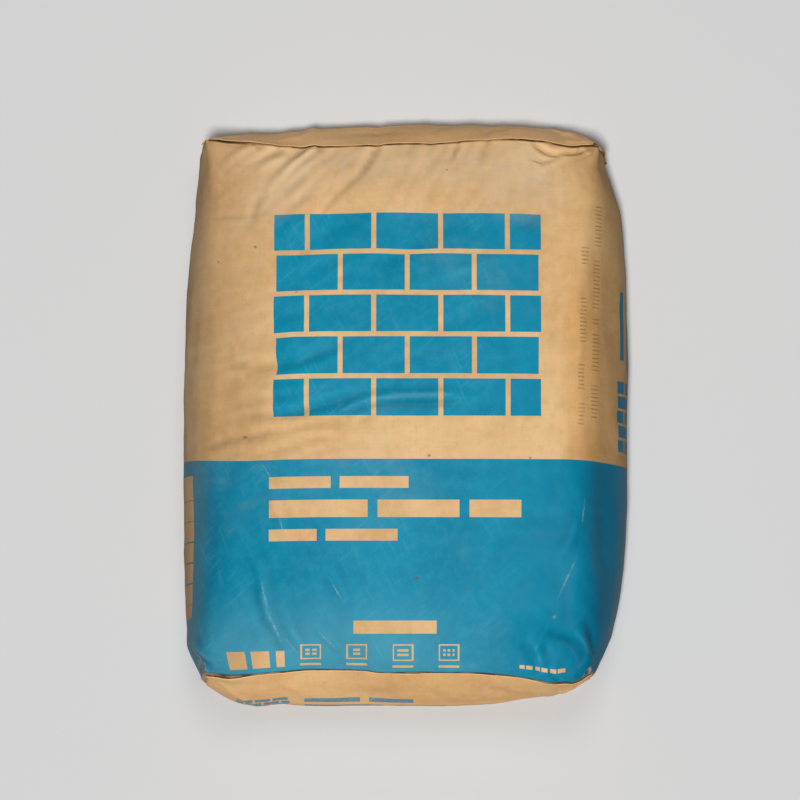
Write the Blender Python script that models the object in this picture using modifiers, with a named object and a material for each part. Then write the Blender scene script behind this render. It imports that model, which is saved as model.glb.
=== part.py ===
"""A filled paper cement sack, lying on its back on a level floor.

The sack is a paper tube with a folded, pasted end at each end, made full of cement powder.
The row frame: +Z up, +Y towards the filling end, +X across, origin at the middle of the underside.
"""

import math

import bmesh
import bpy
from mathutils import Vector

# Paper sizes of the empty sack, in metres
TUBE_FLAT_WIDTH = 0.460
END_WIDTH = 0.110
FACE_WIDTH = TUBE_FLAT_WIDTH - END_WIDTH

# Sizes of the filled sack, lying on its back
THICKNESS = 0.120
CREASE_SPAN = 0.465
TOP_BULGE = 0.023
BOTTOM_BULGE = 0.0245
EDGE_BOW = 0.004

# How the filled form falls away from its thickest place, as shares of its thickness
CREASE_DROP = 0.150
CORNER_DROP = 0.070
CROWN_DROP = 0.045
SLUMP_POWER = 1.7
BARREL_POWER = 3.3
END_DROP_POWER = 3.0
BULGE_POWER = 4.0

# The swell of the face above an even form, its slack left shoulder and its full right one. A shoulder is
# given by its height, the place across the sack where it is highest, and how wide it is.
FACE_SWELL = 0.0055
LEFT_SHOULDER = (-0.013, -0.158, 0.038)
RIGHT_SHOULDER = (0.003, 0.150, 0.022)
SHOULDER_END_POWER = 8
# The powder lies thicker in the left half of the bottom end, as a share of that end's bulge
BOTTOM_BULGE_LEAN = 0.25

# How this sack's outline departs from an even one, in millimetres: how far out the paper goes at places
# across the sack, for the upper creases of its ends, and at places along it, for its long sides
TOP_CREASE_OUT = [(-175, 7), (-145, 5), (-110, 2), (-75, 1), (0, 3), (85, 7), (115, 4), (145, 0), (175, 0)]
BOTTOM_CREASE_OUT = [(-175, 3), (-140, 5), (-90, 0), (0, 2), (60, 3), (90, 6), (120, 11), (142, 10)]
BOTTOM_CREASE_OUT += [(175, 0)]
LEFT_SIDE_OUT = [(-232, 2), (-205, 8), (-160, 4), (-115, 2), (0, 1), (115, -3), (200, -3), (232, 2)]
RIGHT_SIDE_OUT = [(-232, -11), (-195, -5), (-155, -1), (-110, 0), (0, 2), (110, 1), (160, -1), (232, -3)]
MM = 0.001
# How far down an end panel, and how far in from its crease, the crease takes the paper with it
CREASE_LEVELS = (-0.3, 0.95)
CREASE_REACH = 0.030
# A long side's paper moves not at all up to the first of these distances from the middle of the sack, and
# fully from the second on
SIDE_REACH = (0.090, 0.172)

# Cells of the cube that the sack is shaped from, and how much they narrow towards its edges
HALF_CELLS_ACROSS = 12
HALF_CELLS_ALONG = 15
HALF_CELLS_HIGH = 4
CROWDING = 0.25

# The pasted patches and the mouth of the valve sleeve, on the end panels.
# They reach from line to line of the sack's own cells, counted from the middle.
PASTE_GAP = 0.0003
PATCH_THICKNESS = 0.0005
PATCH_LINES_ACROSS = (-11, 11)
PATCH_LINES_HIGH = (-3, 4)
SLEEVE_THICKNESS = 0.0009
SLEEVE_LINES_ACROSS = (9, 12)
SLEEVE_LINES_HIGH = (-3, 3)
SLEEVE_STANDS_OUT = 0.012

# Colours and finish of the papers, and where the blue print on the tube begins
KRAFT = (0.55, 0.36, 0.19, 1.0)
PRINT_BLUE = (0.02, 0.22, 0.40, 1.0)
KRAFT_END = (0.50, 0.32, 0.16, 1.0)
SLEEVE_BROWN = (0.36, 0.24, 0.13, 1.0)
KRAFT_ROUGHNESS = 0.75
PRINT_ROUGHNESS = 0.6
SLEEVE_ROUGHNESS = 0.8
PRINT_EDGE_Y = -0.049

# Folds sharper than this are shaded as creases
SHARP_DEGREES = 25
# An edge or a normal with more than this share along an axis runs along that axis
ALONG_AXIS = 0.9


def clear_scene():
    for item in list(bpy.data.objects):
        bpy.data.objects.remove(item, do_unlink=True)


def make_material(name, color, roughness):
    material = bpy.data.materials.new(name)
    material.use_nodes = True
    shader = material.node_tree.nodes["Principled BSDF"]
    shader.inputs["Base Color"].default_value = color
    shader.inputs["Roughness"].default_value = roughness
    shader.inputs["Metallic"].default_value = 0.0
    return material


# The filled form. A place on the sack is named by cube coordinates, each from -1 to 1:
# s across the face, t along the tube and r up, so that the cube's edges are the sack's creases.


def round_section(s, r):
    """(x, height) on the middle section: flat above and below, with half-round sides.

    Distances along the paper are those of the empty tube.
    """
    radius = THICKNESS / 2
    half_flat = (TUBE_FLAT_WIDTH - math.pi * radius) / 2
    half_face = FACE_WIDTH / 2
    if r >= 1:
        along = abs(s) * half_face
    elif r <= -1:
        along = half_face + END_WIDTH + (1 - abs(s)) * half_face
    else:
        along = half_face + (1 - r) / 2 * END_WIDTH
    side = math.copysign(1, s)
    arc = math.pi * radius
    if along <= half_flat:
        return side * along, THICKNESS
    if along >= half_flat + arc:
        return side * (2 * half_flat + arc - along), 0.0
    angle = (along - half_flat) / radius
    x = side * (half_flat + radius * math.sin(angle))
    return x, radius * (1 + math.cos(angle))


def end_section(s, r):
    """(x, height) on the section at a crease: a rectangle whose short sides bow out a little."""
    bow = EDGE_BOW * (1 - r * r)
    return s * (FACE_WIDTH / 2 + bow), THICKNESS * (r + 1) / 2


def slumped_height(height, s, t):
    """The powder settles, so the sides are widest low down and the form falls towards its ends."""
    share = (height / THICKNESS) ** SLUMP_POWER if height > 0 else 0.0
    fall = CROWN_DROP * s * s
    fall += CREASE_DROP * abs(t) ** END_DROP_POWER
    fall += CORNER_DROP * s * s * t**4
    return THICKNESS * share * (1 - fall)


def end_bulge(s, t, r):
    """How far an end panel stands out past its creases."""
    full = TOP_BULGE if t > 0 else BOTTOM_BULGE * (1 - BOTTOM_BULGE_LEAN * s)
    return full * (1 - abs(s) ** BULGE_POWER) * (1 - r * r)


def even_point(s, t, r):
    """The place of a point on the cube's surface on an evenly filled sack."""
    on_end = abs(t) >= 1
    x, height = end_section(s, r)
    if not on_end:
        round_x, round_height = round_section(s, r)
        squareness = abs(t) ** BARREL_POWER
        x = round_x + (x - round_x) * squareness
        height = round_height + (height - round_height) * squareness
    y = t * CREASE_SPAN / 2
    if on_end:
        y += math.copysign(end_bulge(s, t, r), t)
    return x, y, slumped_height(height, s, t)


def smooth_step(value, low, high):
    """0 up to low, 1 from high on, and smooth between."""
    share = min(max((value - low) / (high - low), 0), 1)
    return share * share * (3 - 2 * share)


def read_line(points, place):
    """The value at a place on the straight lines between points that are given in millimetres."""
    place = min(max(place / MM, points[0][0]), points[-1][0])
    for (first, low), (second, high) in zip(points, points[1:]):
        if place <= second:
            return (low + (high - low) * (place - first) / (second - first)) * MM


def shoulder_rise(shoulder, x):
    height, middle, width = shoulder
    return height * math.exp(-(((x - middle) / width) ** 2))


def filled_point(s, t, r):
    """The place of a point on the cube's surface on this sack, which is filled and creased unevenly."""
    x, y, z = even_point(s, t, r)
    end = math.copysign(1, t)
    side = math.copysign(1, s)
    share = (z / THICKNESS) ** 2
    swell = FACE_SWELL * (1 - s**4) * (1 - t * t)
    shoulders = shoulder_rise(LEFT_SHOULDER, x) + shoulder_rise(RIGHT_SHOULDER, x)
    shoulders *= 1 - t**SHOULDER_END_POWER
    crease_out = read_line(TOP_CREASE_OUT if t > 0 else BOTTOM_CREASE_OUT, x)
    from_crease = (1 - abs(t)) * CREASE_SPAN / 2
    near_crease = smooth_step(r, *CREASE_LEVELS) * (1 - smooth_step(from_crease, 0, CREASE_REACH))
    side_out = read_line(RIGHT_SIDE_OUT if s > 0 else LEFT_SIDE_OUT, y)
    return Vector((
        x + side * side_out * smooth_step(abs(x), *SIDE_REACH),
        y + end * crease_out * near_crease,
        z + (swell + shoulders) * share,
    ))


def crowded(value):
    """Cube coordinate of an evenly spaced line, moved so that cells narrow towards the edges."""
    return value * (1 + CROWDING * (1 - value * value))


def cell_lines(first, last, half_cells):
    """The sack's own lines from the first to the last, counted from the middle, as cube coordinates."""
    return [crowded(i / half_cells) for i in range(first, last + 1)]


def add_object(name, bm, materials, collection):
    """Triangles are cut alike on the sack and on what is pasted to it, so that their facets are parallel."""
    bmesh.ops.triangulate(bm, faces=bm.faces, quad_method="SHORT_EDGE")
    mesh = bpy.data.meshes.new(name)
    bm.to_mesh(mesh)
    bm.free()
    for material in materials:
        mesh.materials.append(material)
    item = bpy.data.objects.new(name, mesh)
    collection.objects.link(item)
    mesh.shade_smooth()
    mesh.set_sharp_from_angle(angle=math.radians(SHARP_DEGREES))
    return item


def cut_cube_edges(bm, axis, cuts):
    """Cuts every edge that runs along one axis into equal cells."""
    edges = []
    for edge in bm.edges:
        direction = (edge.verts[0].co - edge.verts[1].co).normalized()
        if abs(direction[axis]) > ALONG_AXIS:
            edges.append(edge)
    bmesh.ops.subdivide_edges(bm, edges=edges, cuts=cuts, use_grid_fill=True)


def make_sack(collection, kraft, blue):
    """The tube with its folded ends, as one solid with the powder that fills it."""
    bm = bmesh.new()
    bmesh.ops.create_cube(bm, size=2)
    for axis, half_cells in enumerate((HALF_CELLS_ACROSS, HALF_CELLS_ALONG, HALF_CELLS_HIGH)):
        cut_cube_edges(bm, axis, 2 * half_cells - 1)
    bm.normal_update()
    tube_faces = [face for face in bm.faces if abs(face.normal.y) < ALONG_AXIS]
    for vert in bm.verts:
        s, t, r = (crowded(round(value, 6)) for value in vert.co)
        vert.co = filled_point(s, t, r)
    for face in tube_faces:
        face.material_index = int(face.calc_center_median().y < PRINT_EDGE_Y)
    bmesh.ops.recalc_face_normals(bm, faces=bm.faces)
    return add_object("sack", bm, (kraft, blue), collection)


def make_end_sheet(name, end, across, high, thickness, lift, material, collection):
    """A sheet pasted over an end panel, as an open surface that Solidify thickens outwards.

    end is 1 or -1, across and high are the lines in s and r, and lift(column, row) is its height off the
    sack.
    """
    bm = bmesh.new()
    bmesh.ops.create_grid(bm, x_segments=len(across) - 1, y_segments=len(high) - 1, size=1)
    cells = {}
    for vert in bm.verts:
        column = round((vert.co.x + 1) / 2 * (len(across) - 1))
        row = round((vert.co.y + 1) / 2 * (len(high) - 1))
        cells[vert] = (column, row)
        vert.co = filled_point(across[column], end, high[row])
    if end > 0:
        bmesh.ops.reverse_faces(bm, faces=bm.faces)
    bm.normal_update()
    normals = {vert: vert.normal.copy() for vert in bm.verts}
    for vert, (column, row) in cells.items():
        vert.co += normals[vert] * lift(column, row)
    sheet = add_object(name, bm, (material,), collection)
    solidify = sheet.modifiers.new("paper", "SOLIDIFY")
    solidify.thickness = thickness
    solidify.offset = 1
    return sheet


def make_patches(collection, material):
    """The cover sheets of both ends. The one at the filling end passes over the valve sleeve."""
    across = cell_lines(*PATCH_LINES_ACROSS, HALF_CELLS_ACROSS)
    high = cell_lines(*PATCH_LINES_HIGH, HALF_CELLS_HIGH)

    def flat_lift(column, row):
        return PASTE_GAP

    def lift_over_sleeve(column, row):
        line_across = PATCH_LINES_ACROSS[0] + column
        line_high = PATCH_LINES_HIGH[0] + row
        over = line_across >= SLEEVE_LINES_ACROSS[0] and line_high <= SLEEVE_LINES_HIGH[1]
        return 2 * PASTE_GAP + SLEEVE_THICKNESS if over else PASTE_GAP

    make_end_sheet("top_end_patch", 1, across, high, PATCH_THICKNESS, lift_over_sleeve, material, collection)
    make_end_sheet("bottom_end_patch", -1, across, high, PATCH_THICKNESS, flat_lift, material, collection)


def make_valve_sleeve(collection, material):
    """The sleeve that the sack was filled through, pressed flat. Its mouth stands out past the corner."""
    across = cell_lines(*SLEEVE_LINES_ACROSS, HALF_CELLS_ACROSS) + [1 + SLEEVE_STANDS_OUT]
    high = cell_lines(*SLEEVE_LINES_HIGH, HALF_CELLS_HIGH)

    def lift(column, row):
        return PASTE_GAP

    make_end_sheet("valve_sleeve", 1, across, high, SLEEVE_THICKNESS, lift, material, collection)


def main():
    clear_scene()
    collection = bpy.data.collections.new("cement_sack")
    bpy.context.scene.collection.children.link(collection)
    kraft = make_material("kraft_paper", KRAFT, KRAFT_ROUGHNESS)
    blue = make_material("printed_kraft", PRINT_BLUE, PRINT_ROUGHNESS)
    patch_kraft = make_material("patch_kraft", KRAFT_END, KRAFT_ROUGHNESS)
    sleeve_brown = make_material("sleeve_paper", SLEEVE_BROWN, SLEEVE_ROUGHNESS)
    make_sack(collection, kraft, blue)
    make_patches(collection, patch_kraft)
    make_valve_sleeve(collection, sleeve_brown)


main()
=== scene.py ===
"""The looks of a full paper cement sack that lies on its back on a level floor.

The sack is a paper tube with folded, pasted ends. Its paper is run as cloth around the filled form,
creased where the paper folds, and finished as kraft paper with a plain blue print.
Lengths are in metres. Places on the paper are in millimetres, counted from the middle of the face.
"""

import math
from collections import namedtuple

import bmesh
import bpy
import numpy as np
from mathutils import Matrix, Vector, noise


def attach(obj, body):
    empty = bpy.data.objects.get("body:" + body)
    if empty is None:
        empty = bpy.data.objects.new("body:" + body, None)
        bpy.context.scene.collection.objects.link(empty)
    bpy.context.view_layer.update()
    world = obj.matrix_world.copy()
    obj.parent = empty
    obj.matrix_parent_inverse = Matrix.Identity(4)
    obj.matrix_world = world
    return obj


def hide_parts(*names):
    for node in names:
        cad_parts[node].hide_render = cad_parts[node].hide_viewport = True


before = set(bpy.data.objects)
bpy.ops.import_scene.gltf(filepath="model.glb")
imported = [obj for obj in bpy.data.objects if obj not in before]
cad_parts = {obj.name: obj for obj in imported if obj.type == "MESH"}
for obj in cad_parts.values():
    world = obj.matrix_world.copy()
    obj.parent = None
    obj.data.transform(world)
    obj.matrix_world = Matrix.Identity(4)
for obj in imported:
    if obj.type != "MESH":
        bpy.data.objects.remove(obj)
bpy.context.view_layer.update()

# Paper sizes of the empty sack
TUBE_FLAT_WIDTH = 0.460
END_WIDTH = 0.110
FACE_WIDTH = TUBE_FLAT_WIDTH - END_WIDTH
# Sizes of the filled sack, and how its form falls away from its thickest place
THICKNESS = 0.120
CREASE_SPAN = 0.465
END_BULGE = 0.026
EDGE_BOW = 0.004
CREASE_DROP = 0.150
CORNER_DROP = 0.070
CROWN_DROP = 0.045
SLUMP_POWER = 1.7
BARREL_POWER = 3.3
END_DROP_POWER = 3.0
BULGE_POWER = 4.0
# Cells of the cube that the sack is shaped from, and how much they narrow towards its edges
HALF_CELLS = (33, 44, 11)
CROWDING = 0.25
ALONG_AXIS = 0.9
MM = 0.001


# The filled form, named by cube coordinates: s across the face, t along the tube and r up


def round_section(s, r):
    """(x, height) on the middle section: flat above and below, with half-round sides."""
    radius = THICKNESS / 2
    half_flat = (TUBE_FLAT_WIDTH - math.pi * radius) / 2
    half_face = FACE_WIDTH / 2
    if r >= 1:
        along = abs(s) * half_face
    elif r <= -1:
        along = half_face + END_WIDTH + (1 - abs(s)) * half_face
    else:
        along = half_face + (1 - r) / 2 * END_WIDTH
    side = math.copysign(1, s)
    arc = math.pi * radius
    if along <= half_flat:
        return side * along, THICKNESS
    if along >= half_flat + arc:
        return side * (2 * half_flat + arc - along), 0.0
    angle = (along - half_flat) / radius
    return side * (half_flat + radius * math.sin(angle)), radius * (1 + math.cos(angle))


def slumped_height(height, s, t):
    """The powder settles, so the sides are widest low down and the form falls towards its ends."""
    share = (height / THICKNESS) ** SLUMP_POWER if height > 0 else 0.0
    fall = CROWN_DROP * s * s
    fall += CREASE_DROP * abs(t) ** END_DROP_POWER
    fall += CORNER_DROP * s * s * t**4
    return THICKNESS * share * (1 - fall)


def filled_point(s, t, r):
    """The place on the filled sack of a point on the cube's surface.

    At the creases the section is a rectangle whose short sides bow out a little.
    """
    x = s * (FACE_WIDTH / 2 + EDGE_BOW * (1 - r * r))
    height = THICKNESS * (r + 1) / 2
    y = t * CREASE_SPAN / 2
    if abs(t) >= 1:
        y += math.copysign(END_BULGE * (1 - abs(s) ** BULGE_POWER) * (1 - r * r), t)
    else:
        round_x, round_height = round_section(s, r)
        squareness = abs(t) ** BARREL_POWER
        x = round_x + (x - round_x) * squareness
        height = round_height + (height - round_height) * squareness
    return (x, y, slumped_height(height, s, t))


# Meshes and numbers


def read(items, field, width=3, kind=float):
    """One field of every item in a list that a mesh has, with a row for each item."""
    values = np.zeros(len(items) * width, np.float32 if kind is float else kind)
    items.foreach_get(field, values)
    return values.reshape(-1, width).astype(kind)


def positions(mesh):
    return read(mesh.vertices, "co")


def cube_places(mesh):
    return read(mesh.attributes["cube"].data, "vector")


def edge_ends(mesh):
    return read(mesh.edges, "vertices", 2, np.int32)


def set_positions(mesh, places):
    mesh.vertices.foreach_set("co", places.astype(np.float32).ravel())
    mesh.update()


def push_out(mesh, push):
    """Moves each vertex along its normal."""
    set_positions(mesh, positions(mesh) + read(mesh.vertices, "normal") * push[:, None])


def above_floor(places):
    return np.maximum(places, (-np.inf, -np.inf, 0))


def add_up(ends, to_first, to_second):
    """Adds up at each vertex what its edges bring to it."""
    total = np.zeros((ends.max() + 1, *to_first.shape[1:]))
    np.add.at(total, ends[:, 0], to_first)
    np.add.at(total, ends[:, 1], to_second)
    return total


def mean_of_neighbours(values, ends):
    counts = np.bincount(ends.ravel()).astype(float)
    total = add_up(ends, values[ends[:, 1]], values[ends[:, 0]])
    return total / (counts if values.ndim == 1 else counts[:, None])


def spread_to_neighbours(values, ends, rounds):
    """Evens out values at the vertices by averaging each with its neighbours."""
    for _ in range(rounds):
        values = 0.5 * values + 0.5 * mean_of_neighbours(values, ends)
    return values


def ramp(values, low, high):
    """0 at low, 1 at high, and smooth between."""
    share = np.clip((values - low) / (high - low), 0, 1)
    return share * share * (3 - 2 * share)


def store(mesh, name, values):
    """Keeps one number for each vertex, for the material to read."""
    attribute = mesh.attributes.new(name, "FLOAT", "POINT")
    attribute.data.foreach_set("value", np.asarray(values, np.float32))


def new_object(name, data):
    item = bpy.data.objects.new(name, data)
    bpy.context.scene.collection.objects.link(item)
    return item


def mesh_from(bm, name):
    mesh = bpy.data.meshes.new(name)
    bm.to_mesh(mesh)
    bm.free()
    return mesh


def baked(item):
    """Applies the modifiers of an object and leaves it with the mesh that they made."""
    bpy.context.view_layer.update()
    graph = bpy.context.evaluated_depsgraph_get()
    mesh = bpy.data.meshes.new_from_object(item.evaluated_get(graph))
    item.modifiers.clear()
    item.data = mesh
    return item


def thickened(item, thickness, offset):
    solidify = item.modifiers.new("paper", "SOLIDIFY")
    solidify.thickness = thickness
    solidify.offset = offset
    return baked(item)


# The sack's grid of cells


def crowded(value):
    return value * (1 + CROWDING * (1 - value * value))


def make_grid():
    """The filled form as a mesh of four-sided cells. Each vertex keeps its cube coordinates."""
    bm = bmesh.new()
    bmesh.ops.create_cube(bm, size=2)
    for axis, half_cells in enumerate(HALF_CELLS):
        edges = []
        for edge in bm.edges:
            direction = (edge.verts[0].co - edge.verts[1].co).normalized()
            if abs(direction[axis]) > ALONG_AXIS:
                edges.append(edge)
        bmesh.ops.subdivide_edges(bm, edges=edges, cuts=2 * half_cells - 1, use_grid_fill=True)
    bmesh.ops.recalc_face_normals(bm, faces=bm.faces)
    cube = [[crowded(round(value, 6)) for value in vert.co] for vert in bm.verts]
    for vert, place in zip(bm.verts, cube):
        vert.co = filled_point(*place)
    mesh = mesh_from(bm, "sack_paper")
    attribute = mesh.attributes.new("cube", "FLOAT_VECTOR", "POINT")
    attribute.data.foreach_set("vector", np.array(cube, np.float32).ravel())
    lay_out_paper(mesh)
    return new_object("sack_paper", mesh)


# The flat paper. The tube is laid out around the middle of the face, with the end panels above and below.

END_PANEL_AT = 1.0
PANEL_EDGE = 0.9999


def around_tube(s, r, back, side_sign):
    """Distance along the paper around the tube, from the middle of the face."""
    half_face = FACE_WIDTH / 2
    side = side_sign * (half_face + (1 - r) / 2 * END_WIDTH)
    rear = side_sign * (half_face + END_WIDTH + (1 - np.abs(s)) * half_face)
    on_side = (np.abs(s) > PANEL_EDGE) & (r < PANEL_EDGE)
    return np.where(back, rear, np.where(on_side, side, s * half_face))


def from_crease(t):
    """How far a place on the tube is from the crease of the nearer end."""
    return (1 - np.abs(t)) * CREASE_SPAN / 2


def lay_out_paper(mesh):
    """Gives the mesh a UV map in metres on the flat paper."""
    corners = cube_places(mesh)[read(mesh.loops, "vertex_index", 1, np.int32).ravel()]
    sizes = read(mesh.polygons, "loop_total", 1, np.int32).ravel()
    face_of_loop = np.repeat(np.arange(len(sizes)), sizes)
    middles = np.zeros((len(sizes), 3))
    np.add.at(middles, face_of_loop, corners)
    middles = (middles / sizes[:, None])[face_of_loop]
    s, t, r = corners.T
    side_sign = np.where(middles[:, 0] < 0, -1.0, 1.0)
    around = around_tube(s, r, middles[:, 2] < -PANEL_EDGE, side_sign)
    on_end = np.abs(middles[:, 1]) > PANEL_EDGE
    u = np.where(on_end, s * FACE_WIDTH / 2, around)
    end_v = np.sign(middles[:, 1]) * END_PANEL_AT + r * END_WIDTH / 2
    v = np.where(on_end, end_v, t * CREASE_SPAN / 2)
    layer = mesh.uv_layers.new(name="paper")
    layer.data.foreach_set("uv", np.stack([u, v], 1).astype(np.float32).ravel())


# The paper as cloth. It starts a little flatter than the filled form and lumpy, and is blown up without
# stretching, which folds it the way a sack's paper folds.

START_HEIGHT = 0.955
START_LENGTH = 1.016
BROAD_LUMPS = (0.0022, 0.095)
FINE_LUMPS = (0.0008, 0.046, 0.019)
LUMP_SEED = 3.0
CLOTH_FRAMES = 30
CLOTH = {
    "quality": 6, "mass": 0.2, "tension_stiffness": 60, "compression_stiffness": 60, "shear_stiffness": 30,
    "bending_model": "ANGULAR", "bending_stiffness": 0.3, "tension_damping": 10, "compression_damping": 10,
    "shear_damping": 10, "bending_damping": 1, "air_damping": 5, "use_pressure": True,
    "uniform_pressure_force": 0.8, "vertex_group_mass": "hold", "pin_stiffness": 1,
}
PAPER_HOLD = 0.025
# The part of the underside that lies on the floor, as shares of the sack's half sizes
LYING = (0.9, 0.95, 0.999)
MOST_MOVE = 0.014


def make_lumpy(mesh):
    """The powder is never even: broad lumps, and finer ones that run across the sack."""
    push = []
    broad_height, broad_size = BROAD_LUMPS
    fine_height, fine_across, fine_along = FINE_LUMPS
    for x, y, z in positions(mesh):
        broad = noise.noise(Vector((x / broad_size + LUMP_SEED, y / broad_size, z / broad_size)))
        fine = noise.noise(Vector((x / fine_across, y / fine_along + LUMP_SEED, z / fine_across)))
        push.append(broad_height * broad + fine_height * fine)
    push_out(mesh, np.array(push))
    set_positions(mesh, above_floor(positions(mesh)))


def blow_up(sack):
    """Runs the paper as cloth, held loosely to its form and firmly where it lies on the floor."""
    start = positions(sack.data)
    s, t, r = cube_places(sack.data).T
    lies = (np.abs(s) < LYING[0]) & (np.abs(t) < LYING[1]) & (r <= -LYING[2])
    group = sack.vertex_groups.new(name="hold")
    group.add(np.flatnonzero(lies).tolist(), 1.0, "REPLACE")
    group.add(np.flatnonzero(~lies).tolist(), PAPER_HOLD, "REPLACE")
    cloth = sack.modifiers.new("paper", "CLOTH")
    for name, value in CLOTH.items():
        setattr(cloth.settings, name, value)
    cloth.settings.effector_weights.gravity = 0
    cloth.collision_settings.use_self_collision = False
    scene = bpy.context.scene
    for frame_number in range(1, CLOTH_FRAMES + 1):
        scene.frame_set(frame_number)
    baked(sack)
    scene.frame_set(1)
    moved = positions(sack.data) - start
    distance = np.linalg.norm(moved, axis=1)
    moved *= np.minimum(1, MOST_MOVE / np.maximum(distance, 1e-9))[:, None]
    set_positions(sack.data, above_floor(start + moved))
    sack.vertex_groups.clear()


FOLD_TIGHTNESS = 0.7


def refine(sack):
    """Halves the cells. The folded edges stay tight."""
    mesh = sack.data
    on_limit = np.abs(cube_places(mesh)) > PANEL_EDGE
    ends = edge_ends(mesh)
    shared = on_limit[ends[:, 0]] & on_limit[ends[:, 1]]
    on_fold = shared[:, 1] & (shared[:, 0] | shared[:, 2])
    crease = mesh.attributes.new("crease_edge", "FLOAT", "EDGE")
    crease.data.foreach_set("value", np.where(on_fold, FOLD_TIGHTNESS, 0).astype(np.float32))
    smooth = sack.modifiers.new("finer", "SUBSURF")
    smooth.levels = smooth.render_levels = 1
    smooth.uv_smooth = "NONE"
    baked(sack)


# Creases in the tube's paper, set after the photograph. A crease is a line that stands up by its
# height, or goes in where that is negative. It is highest at its middle, or at its start if it runs out from
# a fold. Lean tips it, so that one flank is steep and there is a dip beside it.

Crease = namedtuple("Crease", "height width lean from_start path")


def fold(height, width, lean, *path):
    return Crease(height, width, lean, False, path)


def run_out(height, width, lean, *path):
    return Crease(height, width, lean, True, path)


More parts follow.
